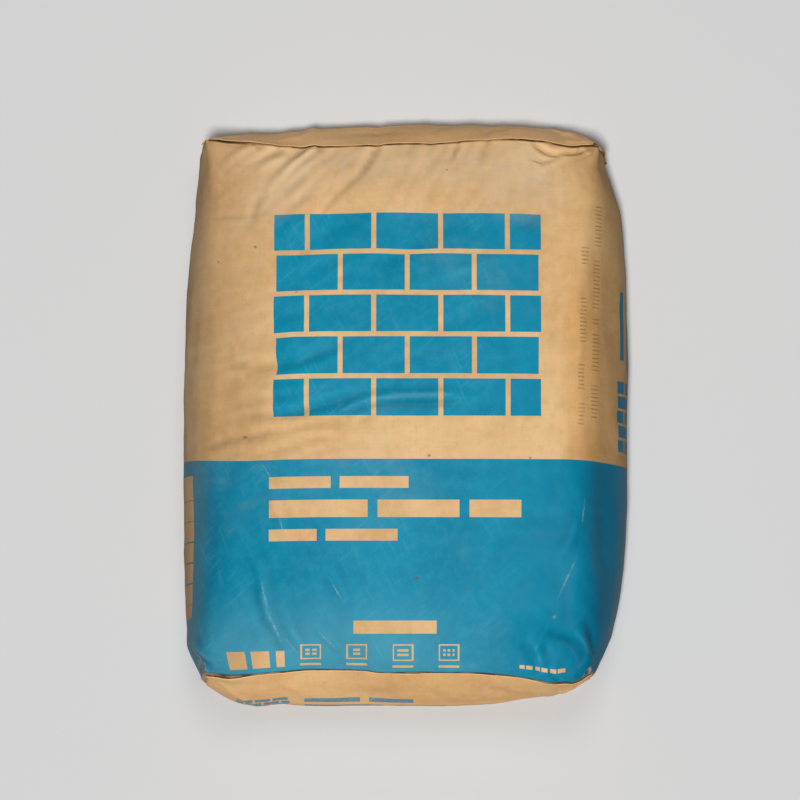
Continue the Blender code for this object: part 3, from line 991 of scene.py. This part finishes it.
KRAFT_PALE = srgb(219, 184, 135)
KRAFT_DEEP = srgb(202, 162, 111)
KRAFT_ROSY = srgb(224, 178, 134)
KRAFT_TAN = srgb(202, 164, 108)
BLUE_INK = srgb(8, 136, 167)
BLUE_DEEP = srgb(2, 110, 141)
BLUE_GREYED = srgb(54, 147, 170)
BLUE_WORN = srgb(112, 172, 186)
DUST = srgb(205, 196, 182)
CEMENT_DUST = srgb(186, 168, 142)
SIDE_DUST_AND_SHADE = srgb(100, 98, 88)
# Dark brown for the dirt specks, the stamped marks, and the painted shadows of the folds at the upper right
# corner
DARK_BROWN = srgb(96, 72, 46)
FOLD_SHADE = srgb(56, 37, 22)
# What the painted shade and dirt on the long sides, the painted shade on the right flank, and the redder
# paper at the right and on the patches, take from a colour
SIDE_SHADE_AND_DIRT_TINT = (0.70, 0.66, 0.60, 1.0)
SIDE_INK_SHADE_AND_DIRT_TINT = (0.40, 0.66, 0.70, 1.0)
FLANK_SHADE_TINT = (0.84, 0.84, 0.80, 1.0)
ORANGE_TINT = (1.0, 0.925, 0.78, 1.0)
PATCH_TINT = (1.0, 0.92, 0.79, 1.0)
# Directions of the fine streaks that rubbing leaves in the ink, in degrees, each with a seed for its noise
INK_STREAKS = [(64, 1.0), (-38, 2.0)]


def kraft(nodes, darker_by=0.0):
    """Colour of unbleached kraft paper and the height of its grain, in metres."""
    broad = nodes.patches((11, 11), 4, 0.6, 0.36, 0.66)
    cloudy = nodes.patches((95, 85), 3, 0.65, 0.38, 0.66, shift=7)
    tanned = nodes.patches((150, 110), 3, 0.65, 0.48, 0.74, shift=17)
    color = nodes.mix(broad, KRAFT_DEEP, KRAFT_PALE)
    color = nodes.mix(cloudy * 0.50, color, KRAFT_ROSY)
    color = nodes.mix(tanned * 0.50, color, KRAFT_TAN)
    fibres = nodes.noise((950, 1150), 3, 0.75)
    laid = nodes.noise((420, 22), 2, 0.6, shift=3)
    crepe = nodes.noise((30, 700), 2, 0.6, shift=5, distortion=0.4)
    grain = fibres * 0.34 + laid * 0.07 + crepe * 0.09
    height = fibres * 0.00005 + laid * 0.00003 + crepe * 0.00005
    return nodes.shade(color, grain + (0.735 - darker_by)), height


def crumple(nodes):
    """Height of the small dents that handling leaves in paper, in metres."""
    warp = nodes.add("VectorMath", {0: nodes.wander(30), "Scale": 0.02}, operation="SCALE")
    place = nodes.vector("ADD", nodes.place, warp)
    broad, fine = (
        nodes.add("TexVoronoi", {"Vector": place, "Scale": scale}, "Distance") for scale in (28, 74)
    )
    return broad * 0.00050 + fine * 0.00016


# The print, placed on the flat paper. All its sizes are in millimetres.

BAND_TOP = -49
# The band's edge rises over this part of the left side: from, to, and its height at each
BAND_RISE = (-135, -215, 0, 5)
INK_EDGE = 0.25
INK_WAVER = 0.0005
RAGGED = 2.5


def box_mask(nodes, along, up, left, right, low, high):
    """1 inside a rectangle given by its sides."""
    past_x = abs(along - (left + right) / 2) - (right - left) / 2
    past_y = abs(up - (low + high) / 2) - (high - low) / 2
    return nodes.span(largest(past_x, past_y), INK_EDGE, -INK_EDGE)


def stripes(nodes, value, rows):
    """Up to three patterns of spans along one axis, as the channels of a colour."""
    edges = sorted({edge for spans in rows for span in spans for edge in span})
    low, high = edges[0] - 1, edges[-1] + 1
    colors = nodes.add("ValToRGB", {0: nodes.math("DIVIDE", value - low, high - low)})
    scale = colors.socket.node.color_ramp
    scale.interpolation = "CONSTANT"
    scale.elements.remove(scale.elements[1])
    scale.elements[0].position = 0
    scale.elements[0].color = (0, 0, 0, 1)
    for edge in edges:
        color = [float(any(first <= edge < last for first, last in spans)) for spans in rows]
        color += [0.0] * (3 - len(color))
        scale.elements.new((edge - low) / (high - low)).color = (*color, 1)
    return colors


def stencil(nodes, along, up, rows):
    """1 where one of up to three rows of bars is open. A row is its spans across and its spans in height."""
    columns = stripes(nodes, along, [across for across, _ in rows])
    levels = stripes(nodes, up, [high for _, high in rows])
    return nodes.add("VectorMath", {0: columns, 1: levels}, "Value", operation="DOT_PRODUCT")


def bricks(nodes, along, up, box, width, height, joint):
    """Running bond inside a rectangle: 1 on a brick and 0 on a joint or outside."""
    left, right, low, high = box
    inputs = {
        "Vector": nodes.add("CombineXYZ", {0: along - left, 1: up - low}),
        "Scale": 1.0,
        "Mortar Size": joint / 2,
        "Mortar Smooth": 0.1,
        "Brick Width": width,
        "Row Height": height,
    }
    joints = nodes.add("TexBrick", inputs, "Fac", offset=0.5, offset_frequency=2, squash=1.0)
    return box_mask(nodes, along, up, *box) * (1.0 - joints)


def strokes(nodes, up):
    """Thin level strokes, one after another up the paper."""
    from_stroke = nodes.math("PINGPONG", up, STROKE_STEP / 2)
    return nodes.span(from_stroke, STROKE_WIDTH / 2 + INK_EDGE, STROKE_WIDTH / 2 - INK_EDGE)


def blots(nodes, place, spots, soft):
    """1 inside any of a few oval spots, each given by its middle, its half sizes and how far it is turned."""
    masks = []
    for x, y, half_width, half_height, turn in spots:
        inputs = {
            "Vector": place,
            "Location": (x, y, 0),
            "Rotation": (0, 0, math.radians(turn)),
            "Scale": (half_width, half_height, 1),
        }
        near = nodes.add("Mapping", inputs, vector_type="TEXTURE")
        size = nodes.add("VectorMath", {0: near}, "Value", operation="LENGTH")
        masks.append(nodes.span(size, 1 + soft, 1 - soft))
    return largest(*masks)


DARK_SPECKS = [
    (-133, 138, 1.4, 1.2, 0), (-168, 127, 0.9, 0.9, 0), (9, -151, 2.4, 1.2, 0), (20, -46, 1.3, 1.2, 0),
    (-28, 44, 0.9, 0.8, 0), (36, 205, 0.9, 0.8, 0), (-142, -28, 2, 1, 0), (52, -160, 1, 1, 0),
    (108, -48, 1, 1, 0), (-96, 96, 0.7, 0.7, 0),
]
DUSTY_PLACES = [(-10, 214, 120, 22, 0), (92, 200, 46, 28, -20), (-104, 194, 44, 18, 35)]
# Lines given by their middle, half length, half width and direction: pale ones where the ink cracked along a
# fold or was scratched, some of them also painted highlight along the lower left fold ridges and on the
# folded ear at the upper right, and the painted thin shadows of the folds at the upper right corner
PALE_LINES = [
    (-122.5, -162.5, 9, 0.6, -76), (-113, -193, 11, 0.7, -67), (-99.5, -208, 7, 0.6, -55),
    (-109.5, -100.5, 12, 0.5, -74), (-61, -160, 9, 0.6, -60), (-119.5, -61, 8, 0.5, -56),
    (-68, -204, 8, 0.5, -45), (141.5, -150, 13, 0.6, 66), (156, -94, 9, 0.6, 82), (131, -183, 1.8, 1.2, 40),
    (164, 227.5, 4.5, 1.6, -42),
]
CORNER_CRACKS = [
    (-191, -210, 5, 1, -52), (-184, -217, 6, 0.9, -44), (-187, -203, 4, 0.7, -70),
    (-179, -223, 5, 0.9, -30),
]
FOLD_LINES = [
    (122, 224.3, 6.5, 0.6, -22), (134, 221.5, 5.5, 0.6, 1), (153, 225.6, 10, 0.6, 6),
    (117, 213.6, 6, 0.5, -14),
]
PATCH_SCRATCHES = [(68, 34, 12, 0.9, 66), (-28, 20, 7, 0.8, 52)]
# Where the ink is rubbed off down to the paper
BARE_PLACES = [(-181, -228, 8, 4, -35), (-188, -220, 4, 1.6, -52), (170, -231, 5, 2.4, 40)]

# Fields of bricks: their box, and the width, height and joint of a brick
FACE_BRICKS = ((-116, 118, -14, 168), 58.5, 36.4, 4.5)
SIDE_BRICKS = ((196, 262, -38, 26), 22, 12.8, 2.4)
END_BRICKS = ((-146, -100, -12, 22), 15, 9, 2)
# Rows of bars. Those of ink come first, then those left open in the blue band.
STROKE_ROWS = (
    ([(153, 159.5)], [(-20, 2), (10, 34), (54, 92), (120, 138)]),
    ([(166, 172.5)], [(-14, 17), (28, 62), (70, 76), (84, 126), (139, 176)]),
)
STROKE_STEP = 3.4
STROKE_WIDTH = 1.1
SIDE_BARS = (
    ([(200, 206)], [(44, 104)]),
    ([(212, 216)], [(36, 96)]),
    ([(222, 226)], [(52, 104)]),
)
END_BARS = (
    ([(-88, -40), (-32, 6)], [(13, 21)]),
    ([(-88, -20), (-10, 34)], [(-3, 7)]),
)
WIDE_BARS = (
    ([(-120, -66), (-58, 2)], [(-74, -64)]),
    ([(-120, -34), (-25, 46), (55, 100)], [(-99, -84)]),
    ([(-120, -78), (-70, -8)], [(-119, -109)]),
)
SIGN_LINE = 1.2
SIGNS = [(left, left + 18) for left in (-92, -52, -12, 28)]
SIGN_SIDES = [(left, left + SIGN_LINE) for left, _ in SIGNS]
SIGN_SIDES += [(right - SIGN_LINE, right) for _, right in SIGNS]
SIGN_FILLS = [(-88, -84), (-82, -78), (-46, -40), (-8, 2), (32, 34), (36, 38), (40, 42)]
SMALL_BARS = (
    ([(-46, 26)], [(-198, -187)]),
    ([(-153, -138), (-133, -118), (-113, -106)], [(-228, -213)]),
    (SIGNS, [(-228, -226)]),
)
FRAMED_SIGNS = (
    (SIGNS, [(-222, -220.8), (-208.2, -207)]),
    (SIGN_SIDES, [(-220.8, -217.6), (-215.4, -213.6), (-211.4, -208.2)]),
    (SIGN_SIDES + SIGN_FILLS, [(-217.6, -215.4), (-213.6, -211.4)]),
)
WINDOW_LINES = [(-181, -170), (-169, -152), (-151, -134), (-133, -116), (-115, -98), (-97, -80), (-79, -58)]
OUTER_MARKS = (
    ([(-268, -197)], WINDOW_LINES),
    ([(98, 103), (105, 112), (115, 119), (121, 128), (131, 137), (139, 147)], [(-225.6, -222.9)]),
)


def sack_print(nodes, along, up):
    """How far the paper is covered with blue ink: the band and the marks, less what is left open."""
    ink = nodes.span(up - nodes.span(along, *BAND_RISE), BAND_TOP + INK_EDGE, BAND_TOP - INK_EDGE)
    fields = [bricks(nodes, along, up, *field) for field in (FACE_BRICKS, SIDE_BRICKS)]
    ink = largest(ink, *fields, stencil(nodes, along, up, SIDE_BARS))
    openings = (WIDE_BARS, SMALL_BARS, FRAMED_SIGNS, OUTER_MARKS)
    bare = largest(*(stencil(nodes, along, up, rows) for rows in openings))
    crease = CREASE_SPAN / 2 / MM
    return ink * (1.0 - bare) * nodes.span(abs(up), crease + 1, crease + 1.5, 1.0, 0.0)


def sack_material():
    nodes = Nodes("sack_paper")
    ridge = nodes.attribute("ridge")
    valley = nodes.attribute("valley")
    waver = nodes.vector("SUBTRACT", nodes.wander(700), (0.5, 0.5, 0.5))
    offset = nodes.vector("MULTIPLY", waver, (INK_WAVER,) * 3)
    place = nodes.vector("DIVIDE", nodes.vector("ADD", nodes.place, offset), (MM, MM, MM))
    scuffed = nodes.vector("ADD", place, nodes.vector("MULTIPLY", waver, (RAGGED, RAGGED, 0)))
    along, up = nodes.split(place)
    around = abs(along)
    on_sides = nodes.span(around, 305, 275)
    left_side = nodes.span(along, -106, -165)

    paper, grain = kraft(nodes)
    # Painted shade, with some dirt, darkens the paper of the long sides and the left of the face; more
    # painted shade darkens the right flank
    side_shade_and_dirt = largest(nodes.span(around, 135, 182), left_side * 0.72)
    paper = nodes.mix(side_shade_and_dirt * on_sides, paper, SIDE_SHADE_AND_DIRT_TINT, "MULTIPLY")
    orange = nodes.span(along, 126, 150) * nodes.span(along, 182, 166) * nodes.span(up, 150, 70, 0.4, 1.0)
    paper = nodes.mix(orange, paper, ORANGE_TINT, "MULTIPLY")
    paper = nodes.mix(nodes.span(along, 168, 190) * on_sides, paper, FLANK_SHADE_TINT, "MULTIPLY")

    clouds = nodes.patches((16, 13), 3, 0.6, 0.3, 0.7, shift=21, distortion=0.3)
    mottles = nodes.patches((110, 90), 3, 0.65, 0.4, 0.7, shift=31)
    fibres = nodes.noise((950, 1100), 3, 0.75, shift=2)
    handled = nodes.span(along, 50, 120, 1.0, 0.15)
    # The blue deepens towards the right: painted shade where the face turns down to its flank, over random
    # clouds of deeper ink
    blue = nodes.mix(clouds * 0.4 + nodes.span(along, 95, 165, 0.45, 0.0), BLUE_DEEP, BLUE_INK)
    blue = nodes.mix(mottles * handled * 0.24, blue, BLUE_GREYED)
    faded_corner = nodes.span(up, -148, -212) * nodes.span(along, 90, -20) * 0.26
    blue = nodes.mix(faded_corner, blue, BLUE_WORN)
    blue = nodes.shade(blue, fibres * 0.36 + 0.82)
    # Painted shade, with some dirt, darkens the blue of the long sides and the left of the face
    ink_shade_and_dirt = largest(nodes.span(around, 152, 178), left_side * 0.45)
    blue = nodes.mix(ink_shade_and_dirt * on_sides, blue, SIDE_INK_SHADE_AND_DIRT_TINT, "MULTIPLY")
    for turn, seed in INK_STREAKS:
        turned = nodes.add("Mapping", {"Vector": nodes.place, "Rotation": (0, 0, math.radians(turn))})
        streaky = nodes.vector("MULTIPLY", turned, (26, 300, 1))
        inputs = {"Vector": streaky, "Scale": 1.0, "Detail": 2.0, "W": seed}
        streaks = nodes.span(nodes.add("TexNoise", inputs, noise_dimensions="4D"), 0.56, 0.72)
        blue = nodes.mix(streaks * clouds * handled * 0.13, blue, BLUE_WORN)

    pieces = nodes.patches((210, 210), 2, 0.6, 0.42, 0.58, shift=81)
    pinholes = nodes.patches((1500, 1500), 1, 0.5, 0.7, 0.78, shift=4)
    rubbed = nodes.span(ridge + fibres * 0.5, 0.75, 1.25)
    worn_off = blots(nodes, scuffed, BARE_PLACES, 0.6) * pieces * 0.9
    ink = sack_print(nodes, along, up) * (1.0 - largest(pinholes * 0.15, rubbed * 0.06, worn_off))
    color = nodes.mix(ink, paper, blue)

    dusty = nodes.patches((7, 9), 5, 0.65, 0.47, 0.72, shift=41, distortion=0.5)
    fine_dust = nodes.patches((60, 90), 4, 0.7, 0.3, 0.7, shift=51)
    dust = dusty * (fine_dust * 0.06 + 0.02) * nodes.span(along, 95, 150, 1.0, 0.1)
    zones = blots(nodes, place, DUSTY_PLACES, 0.75) * (fine_dust + 0.5) * 0.34
    color = nodes.mix(zones, color, CEMENT_DUST)
    # Pale lines: cracked or scratched ink, and painted highlight along the lower left fold ridges and on the
    # upper right ear
    pale = blots(nodes, scuffed, PALE_LINES, 0.8) * (pieces + 0.25) * 0.22
    cracks = blots(nodes, scuffed, CORNER_CRACKS, 0.8) * pieces * 0.5
    color = nodes.mix(largest(dust, largest(pale, cracks)), color, DUST)
    # Dark grey on the edges of the long sides: dust, and painted shade where the sides turn away
    side_dust_and_shade = largest(nodes.span(along, -168, -196, 0.0, 0.36), nodes.span(along, 190, 206, 0.0, 0.18))
    color = nodes.mix(side_dust_and_shade * on_sides, color, SIDE_DUST_AND_SHADE)

    # Dirt specks, painted shadows of the pocket's folds, and stamped marks, all in dark brown
    specks = blots(nodes, scuffed, DARK_SPECKS, 0.35) * 0.6
    lines = blots(nodes, place, FOLD_LINES, 0.8) * 0.5
    uneven = nodes.span(pieces, 0.0, 1.0, 0.32, 0.56)
    marks = stencil(nodes, along, up, STROKE_ROWS) * strokes(nodes, up) * uneven
    color = nodes.mix(largest(specks, lines, marks), color, DARK_BROWN)
    # Painted shade, with some dirt, in the valleys of the creases; the ridges are paler where rubbed
    color = nodes.shade(color, ridge * 0.10 - valley * 0.26 + 1.0)
    # Painted shade under the end creases, patchy along them
    gaping = nodes.span(nodes.noise((42, 42), 2, 0.6, shift=91), 0.40, 0.58, 0.35, 1.0)
    color = nodes.mix(nodes.attribute("painted_fold_shade") * gaping, color, FOLD_SHADE)
    roughness = 0.74 - ink * 0.20 + dust * 0.4
    return nodes.finish(color, roughness, grain + crumple(nodes) + ink * 0.00002, 0.07)


def patch_material(name, printed, darker_by):
    nodes = Nodes(name)
    color, grain = kraft(nodes, darker_by)
    color = nodes.mix(1.0, color, PATCH_TINT, "MULTIPLY")
    place = nodes.vector("DIVIDE", nodes.place, (MM, MM, MM))
    if printed:
        along, up = nodes.split(place)
        marks = largest(bricks(nodes, along, up, *END_BRICKS), stencil(nodes, along, up, END_BARS))
        stains = nodes.patches((500, 500), 2, 0.6, 0.25, 0.6, shift=9)
        color = nodes.mix(marks * (stains * 0.3 + 0.6), color, BLUE_INK)
    scuffs = nodes.patches((50, 90), 4, 0.7, 0.55, 0.75, shift=61)
    scratches = blots(nodes, place, PATCH_SCRATCHES, 0.7)
    color = nodes.mix(largest(scuffs * 0.22, scratches * 0.4), color, DUST)
    return nodes.finish(color, 0.76, grain + crumple(nodes), 0.3)


def sleeve_material():
    nodes = Nodes("sleeve_paper")
    color, grain = kraft(nodes, 0.30)
    dust = nodes.patches((160, 160), 4, 0.7, 0.4, 0.7, shift=3)
    color = nodes.mix(dust * 0.45, color, DUST)
    return nodes.finish(color, 0.85, grain + crumple(nodes), 0.2)


# Stage

FLOOR_HALF = 12.0
FLOOR_GREY = (0.60, 0.60, 0.60, 1)
FLOOR_ROUGHNESS = 0.9
FRAME_PIXELS = 800
METRES_PER_PIXEL = 0.000873
VIEW_TILT = 7.5
VIEW_DISTANCE = 4.0
VIEW_AIM = Vector((0, 0, 0.11))
SENSOR = 36.0
# Where the sack's middle is in the photograph, from the frame's middle, in pixels
SHIFT_RIGHT = 6
SHIFT_DOWN = 4
WORLD_LIGHT = 0.04
LIGHT_AIM = Vector((0, 0, 0.05))
# Each lamp's name, place, size and power
LAMPS = [("key", (-0.35, -1.85, 7.6), 1.1, 540), ("overhead", (0.2, 1.9, 5.0), 2.4, 57)]


def make_stage():
    bm = bmesh.new()
    bmesh.ops.create_grid(bm, x_segments=1, y_segments=1, size=FLOOR_HALF)
    floor = new_object("floor", mesh_from(bm, "floor"))
    material = bpy.data.materials.new("floor")
    material.use_nodes = True
    shader = material.node_tree.nodes["Principled BSDF"]
    shader.inputs["Base Color"].default_value = FLOOR_GREY
    shader.inputs["Roughness"].default_value = FLOOR_ROUGHNESS
    floor.data.materials.append(material)


def make_camera():
    data = bpy.data.cameras.new("camera")
    data.sensor_width = SENSOR
    data.lens = SENSOR * VIEW_DISTANCE / (FRAME_PIXELS * METRES_PER_PIXEL)
    data.shift_x = -SHIFT_RIGHT / FRAME_PIXELS
    data.shift_y = SHIFT_DOWN / FRAME_PIXELS
    camera = new_object("camera", data)
    tilt = math.radians(VIEW_TILT)
    camera.location = VIEW_AIM + Vector((0, -math.sin(tilt), math.cos(tilt))) * VIEW_DISTANCE
    camera.rotation_euler = (tilt, 0, 0)
    bpy.context.scene.camera = camera


def make_light():
    scene = bpy.context.scene
    scene.world = bpy.data.worlds.new("studio")
    scene.world.use_nodes = True
    background = scene.world.node_tree.nodes["Background"]
    background.inputs["Color"].default_value = (1, 1, 1, 1)
    background.inputs["Strength"].default_value = WORLD_LIGHT
    for name, place, size, power in LAMPS:
        data = bpy.data.lights.new(name, "AREA")
        data.shape = "DISK"
        data.size = size
        data.energy = power
        lamp = new_object(name, data)
        lamp.location = place
        lamp.rotation_euler = (LIGHT_AIM - Vector(place)).to_track_quat("-Z", "Y").to_euler()
    scene.view_settings.view_transform = "Standard"


def dress(item, material, node):
    set_positions(item.data, above_floor(positions(item.data)))
    item.data.materials.clear()
    item.data.materials.append(material)
    item.data.shade_smooth()
    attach(item, "root")
    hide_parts(node)


def main():
    sack = make_grid()
    set_positions(sack.data, positions(sack.data) * np.array([1, START_LENGTH, START_HEIGHT]))
    make_lumpy(sack.data)
    blow_up(sack)
    refine(sack)
    round_long_edges(sack)
    shape_outline(sack)
    press_folds(sack)
    crease_face(sack)
    store_wear_and_shade(sack)
    top = EndPanel(sack, 1)
    bottom = EndPanel(sack, -1)
    top_patch = make_patch("top_end_patch_paper", top, TOP_LIP_OUT, TOP_EARS, True)
    bottom_patch = make_patch("bottom_end_patch_paper", bottom, BOTTOM_LIP_OUT, BOTTOM_EARS, False)
    sleeve = make_sleeve("valve_sleeve_paper", top)
    dress(sack, sack_material(), "sack")
    # The end patches are painted lighter than the face's paper, to make up for the weaker light on the end
    # panels
    dress(top_patch, patch_material("top_patch", False, -0.24), "top_end_patch")
    dress(bottom_patch, patch_material("bottom_patch", True, -0.28), "bottom_end_patch")
    dress(sleeve, sleeve_material(), "valve_sleeve")
    make_stage()
    make_camera()
    make_light()


main()
